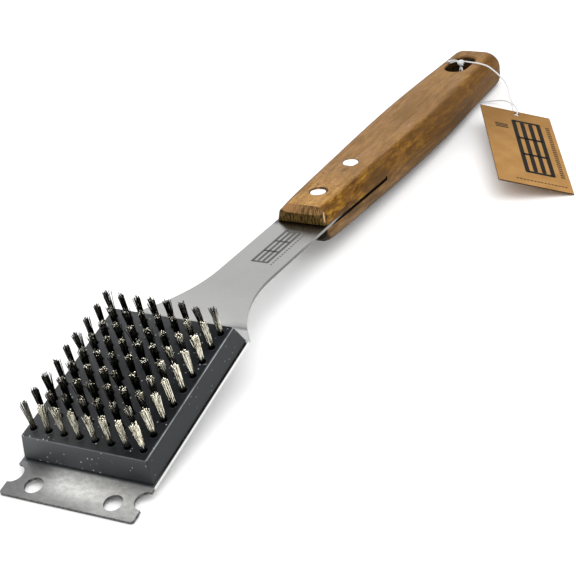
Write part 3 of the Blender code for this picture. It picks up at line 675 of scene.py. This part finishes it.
class Paint:
    """One node material. Each method adds a node and returns its output socket."""

    def __init__(self, name, **sockets):
        self.material = bpy.data.materials.new(name)
        self.material.use_nodes = True
        self.nodes = self.material.node_tree.nodes
        self.links = self.material.node_tree.links
        self.shader = self.nodes["Principled BSDF"]
        for key, value in sockets.items():
            self.shader.inputs[key.replace("_", " ")].default_value = value

    def feed(self, socket, value):
        if isinstance(value, bpy.types.NodeSocket):
            self.links.new(value, socket)
        elif hasattr(value, "__len__") and len(value) == 3 and socket.type == "RGBA":
            socket.default_value = (*value, 1.0)
        else:
            socket.default_value = value

    def place(self, frame_of_piece=Matrix.Identity(4), stretch=(1, 1, 1)):
        """Coordinates in metres in a frame of the object, stretched along its axes."""
        inverse = frame_of_piece.inverted()
        source = self.nodes.new("ShaderNodeTexCoord").outputs["Object"]
        mapping = self.nodes.new("ShaderNodeMapping")
        mapping.inputs["Location"].default_value = inverse.translation
        mapping.inputs["Rotation"].default_value = inverse.to_euler()
        self.links.new(source, mapping.inputs["Vector"])
        scaled = self.nodes.new("ShaderNodeVectorMath")
        scaled.operation = "MULTIPLY"
        scaled.inputs[1].default_value = stretch
        self.links.new(mapping.outputs["Vector"], scaled.inputs[0])
        return scaled.outputs["Vector"]

    def parts(self, vector):
        node = self.nodes.new("ShaderNodeSeparateXYZ")
        self.links.new(vector, node.inputs[0])
        return node.outputs["X"], node.outputs["Y"], node.outputs["Z"]

    def noise(self, vector, scale, detail=3.0, rough=0.5, distortion=0.0):
        node = self.nodes.new("ShaderNodeTexNoise")
        node.inputs["Scale"].default_value = scale
        node.inputs["Detail"].default_value = detail
        node.inputs["Roughness"].default_value = rough
        node.inputs["Distortion"].default_value = distortion
        self.links.new(vector, node.inputs["Vector"])
        return node.outputs["Fac"]

    def cells(self, vector, scale):
        node = self.nodes.new("ShaderNodeTexVoronoi")
        node.inputs["Scale"].default_value = scale
        self.links.new(vector, node.inputs["Vector"])
        return node.outputs["Distance"]

    def ramp(self, value, *stops):
        node = self.nodes.new("ShaderNodeValToRGB")
        elements = node.color_ramp.elements
        while len(elements) < len(stops):
            elements.new(0.5)
        for element, (position, colour) in zip(elements, stops):
            element.position = position
            element.color = (*colour, 1.0)
        self.links.new(value, node.inputs["Fac"])
        return node.outputs["Color"]

    def levels(self, value, low, high, to_low=0.0, to_high=1.0):
        node = self.nodes.new("ShaderNodeMapRange")
        for key, amount in zip(("From Min", "From Max", "To Min", "To Max"),
                               (low, high, to_low, to_high)):
            node.inputs[key].default_value = amount
        self.feed(node.inputs["Value"], value)
        return node.outputs["Result"]

    def math(self, operation, first, second=0.0):
        node = self.nodes.new("ShaderNodeMath")
        node.operation = operation
        self.feed(node.inputs[0], first)
        self.feed(node.inputs[1], second)
        return node.outputs[0]

    def both(self, *masks):
        result = masks[0]
        for mask in masks[1:]:
            result = self.math("MULTIPLY", result, mask)
        return result

    def facing(self, direction):
        """How far the surface faces a direction: 1 straight at it, -1 straight away."""
        node = self.nodes.new("ShaderNodeVectorMath")
        node.operation = "DOT_PRODUCT"
        self.links.new(self.nodes.new("ShaderNodeTexCoord").outputs["Normal"], node.inputs[0])
        node.inputs[1].default_value = direction
        return node.outputs["Value"]

    def distance(self, vector, point):
        node = self.nodes.new("ShaderNodeVectorMath")
        node.operation = "DISTANCE"
        self.links.new(vector, node.inputs[0])
        node.inputs[1].default_value = point
        return node.outputs["Value"]

    def mix(self, share, first, second, blend="MIX"):
        node = self.nodes.new("ShaderNodeMix")
        node.data_type = "RGBA"
        node.blend_type = blend
        colour_a, colour_b = [s for s in node.inputs if s.type == "RGBA"]
        self.feed(node.inputs["Factor"], share)
        self.feed(colour_a, first)
        self.feed(colour_b, second)
        return next(s for s in node.outputs if s.type == "RGBA")

    def bump(self, height, depth):
        node = self.nodes.new("ShaderNodeBump")
        node.inputs["Strength"].default_value = 1.0
        node.inputs["Distance"].default_value = depth
        self.links.new(height, node.inputs["Height"])
        return node.outputs["Normal"]

    def finish(self, colour=None, roughness=None, normal=None):
        for key, value in (("Base Color", colour), ("Roughness", roughness), ("Normal", normal)):
            if value is not None:
                self.feed(self.shader.inputs[key], value)
        return self.material


def axis(frame_of_piece, which):
    return tuple(frame_of_piece.to_3x3().col[which])


def steel_material():
    """Satin sheet: fine lines, faint smudges and grime; painted highlight and shade on the lip, painted shadow at
    the block's foot and under the nose, cut edges with painted highlight, painted shade along the neck, and a dark
    ragged lip edge.
    """
    p = Paint("blade_steel", Metallic=1.0)
    lines = p.noise(p.place(HEAD, (3800, 90, 900)), 1.0, 4, 0.65)
    smudge = p.noise(p.place(), 42, 4, 0.55, 0.6)
    marks = p.noise(p.place(HEAD, (70, 500, 70)), 1.0, 5, 0.7)
    colour = p.ramp(smudge, (0.35, (0.350, 0.350, 0.345)), (0.62, (0.405, 0.405, 0.395)))
    colour = p.mix(p.levels(lines, 0.35, 0.7, 0.0, 0.22), colour, (0.27, 0.27, 0.265))
    colour = p.mix(p.levels(marks, 0.66, 0.78, 0.0, 0.25), colour, (0.25, 0.25, 0.25))
    x, y, _ = p.parts(p.place(HEAD))
    s = p.parts(p.place(HANDLE))[1]
    # painted shade: the neck darker towards the handle
    colour = p.mix(p.levels(s, 0.0, 38 * MM, 0.0, 0.8), colour, (0.285, 0.285, 0.28))
    # painted shade: a darker patch at the right shoulder of the head, where it narrows into the neck
    corner = p.both(p.levels(y, 76 * MM, 80 * MM), p.levels(y, 93 * MM, 87 * MM),
                    p.levels(x, 16 * MM, 25 * MM))
    colour = p.mix(corner, colour, (0.19, 0.19, 0.19))
    lip = p.both(p.levels(y, -5 * MM, -8 * MM), p.levels(p.facing(axis(HEAD, 2)), -0.5, 0.5))
    # painted highlight: a bright patch in the middle of the lip and a lighter right side; painted shade on its
    # left
    wear_and_highlight = p.distance(p.place(HEAD, (0.5, 1.0, 0.0)), (2 * MM, -13 * MM, 0))
    colour = p.mix(p.both(lip, p.levels(wear_and_highlight, 14 * MM, 6 * MM)), colour, (1.0, 1.0, 0.98))
    colour = p.mix(p.both(lip, p.levels(x, 2 * MM, 16 * MM, 0.0, 0.7)), colour, (0.66, 0.66, 0.65))
    colour = p.mix(p.both(lip, p.levels(x, -12 * MM, -26 * MM)), colour, (0.21, 0.21, 0.21))
    # painted shade towards the front of the lip, broken up by the smudges
    colour = p.mix(p.both(p.levels(y, -20 * MM, -28 * MM, 0.0, 0.5),
                          p.levels(smudge, 0.30, 0.60, 0.55, 1.0)), colour, (0.20, 0.20, 0.20))
    grime = p.noise(p.place(HEAD, (300, 460, 300)), 1.0, 6, 0.74)
    colour = p.mix(p.both(lip, p.levels(grime, 0.40, 0.62, 0.0, 0.28)), colour, (0.08, 0.08, 0.08))
    # painted shadow and reflection of the block: a dark bluish band along its foot
    colour = p.mix(p.both(lip, p.levels(y, -9.2 * MM, -7.8 * MM)), colour, (0.09, 0.105, 0.11))
    # painted shadow and reflection under the handle's nose
    colour = p.mix(p.levels(s, 103.9 * MM, 107.8 * MM, 0.0, 0.96), colour, (0.02, 0.02, 0.018))
    wall = p.levels(p.math("ABSOLUTE", p.facing(axis(HEAD, 2))), 0.75, 0.45)
    torn = p.noise(p.place(HEAD, (900, 900, 1600)), 1.0, 4, 0.7)
    sheared = p.ramp(torn, (0.40, (0.016, 0.016, 0.016)), (0.58, (0.17, 0.17, 0.165)))
    # painted highlight on the cut edges of the sheet
    colour = p.mix(wall, colour, (0.72, 0.72, 0.71))
    # painted shade on the cut edges along the neck
    colour = p.mix(p.both(wall, p.levels(y, 80 * MM, 83 * MM),
                          p.levels(y, 185 * MM, 165 * MM, 0.8, 1.0)),
                   colour, (0.13, 0.13, 0.125))
    colour = p.mix(p.both(wall, p.levels(y, -8 * MM, -9 * MM)), colour, sheared)
    scuffed = p.levels(y, 8 * MM, -8 * MM, 0.0, 0.18)
    roughness = p.math("ADD", p.levels(smudge, 0.3, 0.7, 0.20, 0.30), scuffed)
    return p.finish(colour, roughness, p.bump(lines, 0.003 * MM))


def plastic_material(name, edge_highlight):
    """Dark moulded plastic with a fine grain, specks of dust, a painted highlight on its edges and painted light
    high on its front.
    """
    p = Paint(name)
    grain = p.noise(p.place(), 4200, 2, 0.6)
    patches = p.noise(p.place(), 95, 4, 0.6, 0.8)
    front = p.levels(p.facing(axis(HEAD, 1)), -0.6, -0.9)
    strewn = p.math("ADD", p.noise(p.place(), 150, 2, 0.5), p.math("MULTIPLY", front, 0.09))
    speck = p.both(p.levels(p.cells(p.place(), 420), 0.17, 0.09), p.levels(strewn, 0.50, 0.57),
                   p.levels(p.facing(axis(HEAD, 0)), 0.9, 0.5, 0.35, 1.0))
    colour = p.ramp(patches, (0.35, (0.0075, 0.0088, 0.0100)), (0.70, (0.0165, 0.019, 0.0215)))
    # painted highlight along the rounded edges, in patches
    edge = p.math("ABSOLUTE", p.math("SUBTRACT", p.facing(axis(HEAD, 2)), 0.66))
    patchy = p.levels(patches, 0.38, 0.58, 0.5, 1.0)
    colour = p.mix(p.both(p.levels(edge, 0.28, 0.16, 0.0, edge_highlight), patchy), colour,
                   (0.34, 0.36, 0.38))
    # painted light: the front face lighter towards its top
    lit_front_top = p.both(front, p.levels(p.parts(p.place(HEAD))[2], 0.1 * BLOCK_HEIGHT, BLOCK_HEIGHT))
    colour = p.mix(lit_front_top, colour, (0.043, 0.047, 0.051))
    colour = p.mix(speck, colour, (0.36, 0.37, 0.37))
    matt = p.levels(p.parts(p.place(HEAD))[0], -16 * MM, 22 * MM, 0.55, 0.03)
    shiny = p.levels(p.math("ABSOLUTE", p.facing(axis(HEAD, 2))), 0.95, 0.7, 0.0, 0.22)
    p.feed(p.shader.inputs["Specular IOR Level"], p.math("MAXIMUM", matt, shiny))
    roughness = p.levels(patches, 0.3, 0.7, 0.36, 0.54)
    return p.finish(colour, roughness, p.bump(grain, 0.008 * MM))


def wire_material():
    """Bright drawn wire with a little tarnish, and painted shade on the left, among the inner tufts, at the outer
    tips and at the roots, broken by painted glints.
    """
    p = Paint("bristle_wire", Metallic=1.0)
    along = p.noise(p.place(HEAD, (5200, 5200, 400)), 1.0, 3, 0.6)
    tarnish = p.noise(p.place(HEAD, (1500, 1500, 420)), 1.0, 3, 0.6)
    colour = p.ramp(tarnish, (0.36, (0.10, 0.09, 0.07)), (0.45, (0.70, 0.66, 0.52)),
                    (0.56, (0.98, 0.95, 0.82)))
    x, y, z = p.parts(p.place(HEAD))
    # painted shade, deeper towards the left columns
    colour = p.mix(p.levels(x, 10 * MM, -26 * MM, 0.0, 0.35), colour, (0.12, 0.115, 0.10))
    # painted shade among the inner tufts, broken near their tips by painted glints
    inner = p.both(p.levels(y, 3.6 * MM, 6.2 * MM), p.levels(x, 25.4 * MM, 17 * MM))
    near_tip = p.levels(z, BLOCK_HEIGHT + TUFT_HEIGHT - 5.5 * MM,
                        BLOCK_HEIGHT + TUFT_HEIGHT - 2.5 * MM, 1.0, 0.0)
    glint = p.levels(p.noise(p.place(HEAD, (1500, 1500, 800)), 1.0, 2, 0.6), 0.45, 0.53, 0.95, 0.0)
    colour = p.mix(p.both(inner, p.math("MAXIMUM", near_tip, glint)), colour,
                   (0.014, 0.013, 0.011))
    # painted shade on the upper part of the left column and the back row
    outside = p.math("MAXIMUM", p.levels(x, -20 * MM, -25 * MM), p.levels(y, 61 * MM, 65 * MM))
    top_half = p.levels(z, BLOCK_HEIGHT + TUFT_HEIGHT - 9 * MM,
                        BLOCK_HEIGHT + TUFT_HEIGHT - 1.5 * MM, 0.35, 0.88)
    colour = p.mix(p.both(outside, top_half), colour, (0.020, 0.019, 0.016))
    # painted shade at the roots
    colour = p.mix(p.levels(z, BLOCK_HEIGHT + 2.6 * MM, BLOCK_HEIGHT + 0.8 * MM), colour,
                   (0.02, 0.019, 0.016))
    return p.finish(colour, p.levels(along, 0.3, 0.7, 0.08, 0.16))


def wood_material():
    """Acacia: tan on top, golden brown and mottled at the sides, with fine open grain; top and sides differ partly
    by painted light, and painted shade lies underneath, round the front rivet and in the cuts.
    """
    p = Paint("acacia_wood", Specular_IOR_Level=0.07)
    x, s, n = p.parts(p.place(HANDLE))
    fine = p.noise(p.place(HANDLE, (1500, 110, 1500)), 1.0, 5, 0.75)
    streak = p.noise(p.place(HANDLE, (420, 24, 420)), 1.0, 4, 0.6, 0.4)
    mottle = p.noise(p.place(HANDLE, (330, 72, 330)), 1.0, 6, 0.78, 0.3)
    blush = p.noise(p.place(HANDLE, (190, 70, 190)), 1.0, 3, 0.6, 0.3)
    broad = p.noise(p.place(HANDLE, (62, 20, 62)), 1.0, 3, 0.5, 0.5)
    pores = p.noise(p.place(HANDLE, (2400, 260, 2400)), 1.0, 2, 0.5)

    top = p.ramp(mottle, (0.34, (0.255, 0.136, 0.046)), (0.62, (0.390, 0.226, 0.090)))
    top = p.mix(p.levels(blush, 0.46, 0.62, 0.0, 0.60), top, (0.360, 0.206, 0.112))
    gold = p.ramp(mottle, (0.36, (0.35, 0.180, 0.045)), (0.60, (0.57, 0.338, 0.118)))
    top = p.mix(p.levels(s, 156 * MM, 122 * MM, 0.0, 0.9), top, gold)
    side = p.ramp(mottle, (0.38, (0.052, 0.020, 0.002)), (0.50, (0.155, 0.068, 0.006)),
                  (0.60, (0.360, 0.185, 0.022)))
    side = p.mix(p.levels(blush, 0.50, 0.62, 0.0, 0.55), side, (0.190, 0.084, 0.025))
    up = p.facing(axis(HANDLE, 2))
    # top and sides differ partly by grain and partly by painted light: a painted sheen pales the top, painted
    # shade darkens the sides
    colour = p.mix(p.levels(up, 0.985, 0.80), top, side)
    grey = p.ramp(mottle, (0.35, (0.125, 0.072, 0.030)), (0.65, (0.275, 0.175, 0.088)))
    colour = p.mix(p.both(p.levels(up, 0.5, 0.1), p.levels(n, 1.5 * MM, -5 * MM, 0.0, 0.85)),
                   colour, grey)
    colour = p.mix(p.both(p.levels(up, 0.95, 0.8), p.levels(s, 150 * MM, 240 * MM, 0.0, 0.6)),
                   colour, (0.142, 0.064, 0.013))
    sideways = p.levels(up, 0.95, 0.8, 0.45, 1.0)
    colour = p.mix(p.both(sideways, p.levels(broad, 0.50, 0.62, 0.0, 0.65)), colour,
                   (0.085, 0.042, 0.010))
    colour = p.mix(p.both(sideways, p.levels(streak, 0.50, 0.62, 0.0, 0.6)), colour,
                   (0.078, 0.040, 0.011))
    flecks = p.noise(p.place(HANDLE, (330, 800, 330)), 1.0, 2, 0.5, 0.5)
    colour = p.mix(p.both(p.levels(flecks, 0.60, 0.70, 0.0, 0.5), p.levels(up, 0.93, 0.98),
                          p.levels(s, 165 * MM, 150 * MM)), colour, (0.66, 0.42, 0.20))
    colour = p.mix(p.both(p.levels(flecks, 0.44, 0.34, 0.0, 0.5), p.levels(up, 0.93, 0.98),
                          p.levels(s, 165 * MM, 150 * MM, 0.3, 1.0)), colour, (0.170, 0.085, 0.028))
    # painted shade: a dark crescent round the front rivet's seat
    crescent = p.distance(p.place(HANDLE, (1, 1, 0)), RIVET_SHADE)
    colour = p.mix(p.both(p.levels(crescent, 5.0 * MM, 4.8 * MM, 0.0, 0.9),
                          p.levels(up, 0.9, 0.98)), colour, (0.020, 0.012, 0.006))
    knot = p.distance(p.place(HANDLE, WOOD_KNOT_STRETCH), WOOD_KNOT)
    colour = p.mix(p.levels(knot, 2.2 * MM, 0.6 * MM, 0.0, 0.6), colour, (0.12, 0.065, 0.035))
    colour = p.mix(p.levels(fine, 0.44, 0.64, 0.0, 0.36), colour, (0.11, 0.055, 0.016))
    colour = p.mix(p.both(p.levels(fine, 0.42, 0.32, 0.0, 0.30), p.levels(up, 0.93, 0.98)),
                   colour, (0.62, 0.40, 0.20))
    colour = p.mix(p.levels(pores, 0.67, 0.75, 0.0, 0.5), colour, (0.030, 0.015, 0.005))

    ahead = p.facing(tuple(-c for c in axis(HANDLE, 1)))
    near_nose = p.levels(s, 116 * MM, 114 * MM)
    rays = p.noise(p.place(HANDLE, (1500, 200, 260)), 1.0, 3, 0.6)
    bevel = p.ramp(rays, (0.42, (0.100, 0.052, 0.018)), (0.58, (0.270, 0.158, 0.066)))
    bevel = p.mix(p.levels(x, 1 * MM, -9 * MM, 0.0, 0.8), bevel, (0.40, 0.215, 0.095))
    colour = p.mix(p.both(near_nose, p.levels(ahead, 0.35, 0.50)), colour, bevel)
    front = p.ramp(rays, (0.42, (0.022, 0.014, 0.004)), (0.58, (0.140, 0.088, 0.026)))
    colour = p.mix(p.both(near_nose, p.levels(ahead, 0.35, 0.50),
                          p.levels(n, NOSE_FRONT_HEIGHT + 0.3 * MM, NOSE_FRONT_HEIGHT - 0.2 * MM)),
                   colour, front)
    # painted shade on the front of the lower slab at the nose
    colour = p.mix(p.both(near_nose, p.levels(n, -1.0 * MM, -1.6 * MM), p.levels(ahead, 0.2, 0.5)),
                   colour, (0.014, 0.009, 0.003))
    start, end = NOSE_CHIP
    along_chip = (end - start).to_track_quat("Y", "Z").to_matrix().to_4x4()
    chip_frame = HANDLE @ Matrix.Translation((start + end) / 2) @ along_chip
    chip = p.distance(p.place(chip_frame, (1, 0.14, 1)), (0, 0, 0))
    colour = p.mix(p.levels(chip, 0.50 * MM, 0.34 * MM, 0.0, 0.85), colour, (0.66, 0.38, 0.20))
    # painted shade on the facets that face down
    colour = p.mix(p.levels(up, -0.35, -0.65, 0.0, 0.8), colour, (0.030, 0.017, 0.007))
    # painted shade inside the saw cut and the run-out at its end
    kerf = p.levels(p.math("ABSOLUTE", p.math("ADD", n, PLATE_T / 2)),
                    PLATE_T / 2 + KERF_GAP + 0.06 * MM, PLATE_T / 2 + KERF_GAP + 0.02 * MM)
    notch = p.both(p.levels(p.math("ABSOLUTE", n), KERF_GAP + KERF_NOTCH_RISE + 0.06 * MM,
                            KERF_GAP + KERF_NOTCH_RISE + 0.02 * MM),
                   p.levels(s, KERF_END_S - KERF_NOTCH_LENGTH - 0.04 * MM,
                            KERF_END_S - KERF_NOTCH_LENGTH))
    cut = p.both(p.math("MAXIMUM", kerf, notch),
                 p.levels(s, KERF_END_S + GAP + 0.1 * MM, KERF_END_S + GAP + 0.05 * MM))
    colour = p.mix(cut, colour, (0.010, 0.006, 0.003))
    # painted shade on the walls of the hanging hole
    middle = sum(HANG_HOLE_S) / 2
    half_straight = (HANG_HOLE_S[1] - HANG_HOLE_S[0]) / 2 - HANG_HOLE_HALF_WIDTH
    beyond = p.math("MAXIMUM", p.math("SUBTRACT", p.math("ABSOLUTE", p.math(
        "SUBTRACT", s, middle)), half_straight), 0.0)
    from_slot = p.math("SQRT", p.math("ADD", p.math("MULTIPLY", x, x),
                                      p.math("MULTIPLY", beyond, beyond)))
    bore = p.levels(from_slot, HANG_HOLE_HALF_WIDTH + 0.9 * MM, HANG_HOLE_HALF_WIDTH + 0.2 * MM)
    colour = p.mix(bore, colour, p.ramp(mottle, (0.4, (0.012, 0.006, 0.002)),
                                        (0.62, (0.060, 0.032, 0.008))))
    colour = p.mix(1.0, colour, (0.84, 0.81, 0.76), "MULTIPLY")
    relief = p.math("SUBTRACT", p.math("MULTIPLY", fine, 0.5), p.levels(pores, 0.64, 0.74))
    roughness = p.levels(mottle, 0.3, 0.7, 0.48, 0.62)
    return p.finish(colour, roughness, p.bump(relief, 0.035 * MM))


def plain_metal(name, colour, low, high):
    """Metal with fine turning marks and faint clouds."""
    p = Paint(name, Metallic=1.0)
    clouds = p.noise(p.place(), 520, 3, 0.6)
    fine = p.noise(p.place(stretch=(1, 4, 4)), 2600, 3, 0.6)
    tint = p.mix(p.levels(clouds, 0.40, 0.65, 0.0, 0.25), colour, [0.8 * c for c in colour])
    return p.finish(tint, p.levels(fine, 0.3, 0.7, low, high), p.bump(fine, 0.004 * MM))


def cotton_material():
    p = Paint("white_cotton", Roughness=0.9)
    fuzz = p.noise(p.place(), 6500, 3, 0.7)
    colour = p.ramp(fuzz, (0.30, (0.50, 0.50, 0.50)), (0.60, (0.74, 0.74, 0.75)))
    return p.finish(colour, normal=p.bump(fuzz, 0.04 * MM))


def kraft_material():
    """Brown card with short fibres, pale and dark flecks, dark cut edges, and painted shade towards the hole end
    and the left edge.
    """
    p = Paint("kraft_card", Specular_IOR_Level=0.08)
    card = tag_face()
    across, along, _ = p.parts(p.place(card))
    cloud = p.noise(p.place(card), 90, 4, 0.6)
    fibre = p.noise(p.place(card, (2600, 620, 1500)), 1.0, 4, 0.7)
    fleck = p.noise(p.place(card, (900, 2400, 900)), 1.0, 3, 0.6)
    colour = p.ramp(cloud, (0.32, (0.300, 0.154, 0.047)), (0.68, (0.380, 0.207, 0.070)))
    # painted shade towards the hole end and the left edge
    colour = p.mix(p.levels(p.math("SUBTRACT", along, across), -65 * MM, -15 * MM, 0.0, 0.75),
                   colour, (0.170, 0.087, 0.025))
    colour = p.mix(p.levels(fibre, 0.45, 0.72, 0.0, 0.35), colour, (0.20, 0.104, 0.037))
    colour = p.mix(p.levels(fleck, 0.62, 0.76, 0.0, 0.35), colour, (0.43, 0.27, 0.14))
    side = p.levels(p.math("ABSOLUTE", p.facing(axis(card, 2))), 0.7, 0.4)
    colour = p.mix(side, colour, (0.030, 0.018, 0.010))
    return p.finish(colour, p.levels(fibre, 0.3, 0.7, 0.78, 0.92), p.bump(fibre, 0.02 * MM))


def ink_material(name, colour, wear_and_highlight):
    """Flat dark marking with a little texture from the surface under it."""
    p = Paint(name, Specular_IOR_Level=0.1)
    patch = p.noise(p.place(), 1500, 4, 0.7)
    tint = p.mix(p.levels(patch, 0.45, 0.75, 0.0, wear_and_highlight), colour, [min(1, 3 * c) for c in colour])
    return p.finish(tint, p.levels(patch, 0.3, 0.7, 0.55, 0.80), p.bump(patch, 0.004 * MM))


def floor_material():
    p = Paint("pale_floor", Roughness=0.9, Specular_IOR_Level=0.2)
    shade = p.noise(p.place(), 14, 2, 0.5)
    return p.finish(p.ramp(shade, (0.3, (0.93, 0.93, 0.93)), (0.7, (0.95, 0.95, 0.95))))


# ---------------------------------------------------------------- stage

FLOOR_GAP = 0.2 * MM              # keeps the floor from touching what rests on z = 0


def area_light(name, place, aim, size, power, colour=(1.0, 1.0, 1.0)):
    data = bpy.data.lights.new(name, "AREA")
    data.shape = "RECTANGLE"
    data.size, data.size_y = size
    data.energy = power
    data.color = colour
    lamp = bpy.data.objects.new(name, data)
    lamp.location = place
    lamp.rotation_euler = (Vector(aim) - Vector(place)).to_track_quat("-Z", "Y").to_euler()
    bpy.context.scene.collection.objects.link(lamp)


def make_stage():
    scene = bpy.context.scene
    scene.view_settings.view_transform = "Standard"
    world = bpy.data.worlds.new("studio")
    world.use_nodes = True
    background = world.node_tree.nodes["Background"]
    background.inputs["Color"].default_value = (1.0, 1.0, 1.0, 1.0)
    background.inputs["Strength"].default_value = 0.90
    scene.world = world
    mesh = bpy.data.meshes.new("floor")
    bm = bmesh.new()
    bmesh.ops.create_grid(bm, x_segments=8, y_segments=8, size=4.0)
    bm.to_mesh(mesh)
    bm.free()
    mesh.materials.append(floor_material())
    floor = bpy.data.objects.new("floor", mesh)
    floor.location.z = -FLOOR_GAP
    scene.collection.objects.link(floor)
    area_light("overhead", (0.80, -0.45, 1.35), (0, 0, 0), (1.6, 1.6), 22.0)
    area_light("back", (-0.85, 1.55, 0.80), (0, 0, 0.02), (1.5, 0.8), 1.8)
    area_light("lip", (-0.62, 0.40, 1.05), (0, -0.22, 0.01), (0.30, 0.30), 0.85)


STEEL = steel_material()
PLASTIC = plastic_material("black_plastic", 1.0)
RIM_PLASTIC = plastic_material("rim_plastic", 0.0)
WIRE = wire_material()
WOOD = wood_material()
ALUMINIUM = plain_metal("rivet_aluminium", (0.95, 0.95, 0.96), 0.22, 0.34)
ZINC = plain_metal("screw_zinc", (0.58, 0.59, 0.62), 0.28, 0.42)
COTTON = cotton_material()
KRAFT = kraft_material()
PRINT_INK = ink_material("print_ink", (0.008, 0.007, 0.005), 0.25)
FAINT_INK = ink_material("faint_ink", (0.060, 0.032, 0.012), 0.4)
ETCHING = ink_material("etched_steel", (0.075, 0.075, 0.070), 0.6)

make_camera()
make_string()
repaint("hang_tag", KRAFT)
make_tag_print()
edge_bevel(repaint("blade", STEEL), 0.12 * MM)
repaint("brush_block", PLASTIC)
make_collars()
make_tufts()
make_screws()
make_handle()
for rivet in ("front_pin", "front_tube", "rear_pin", "rear_tube"):
    repaint(f"rivet_{rivet}", ALUMINIUM)
make_neck_etching()
make_stage()
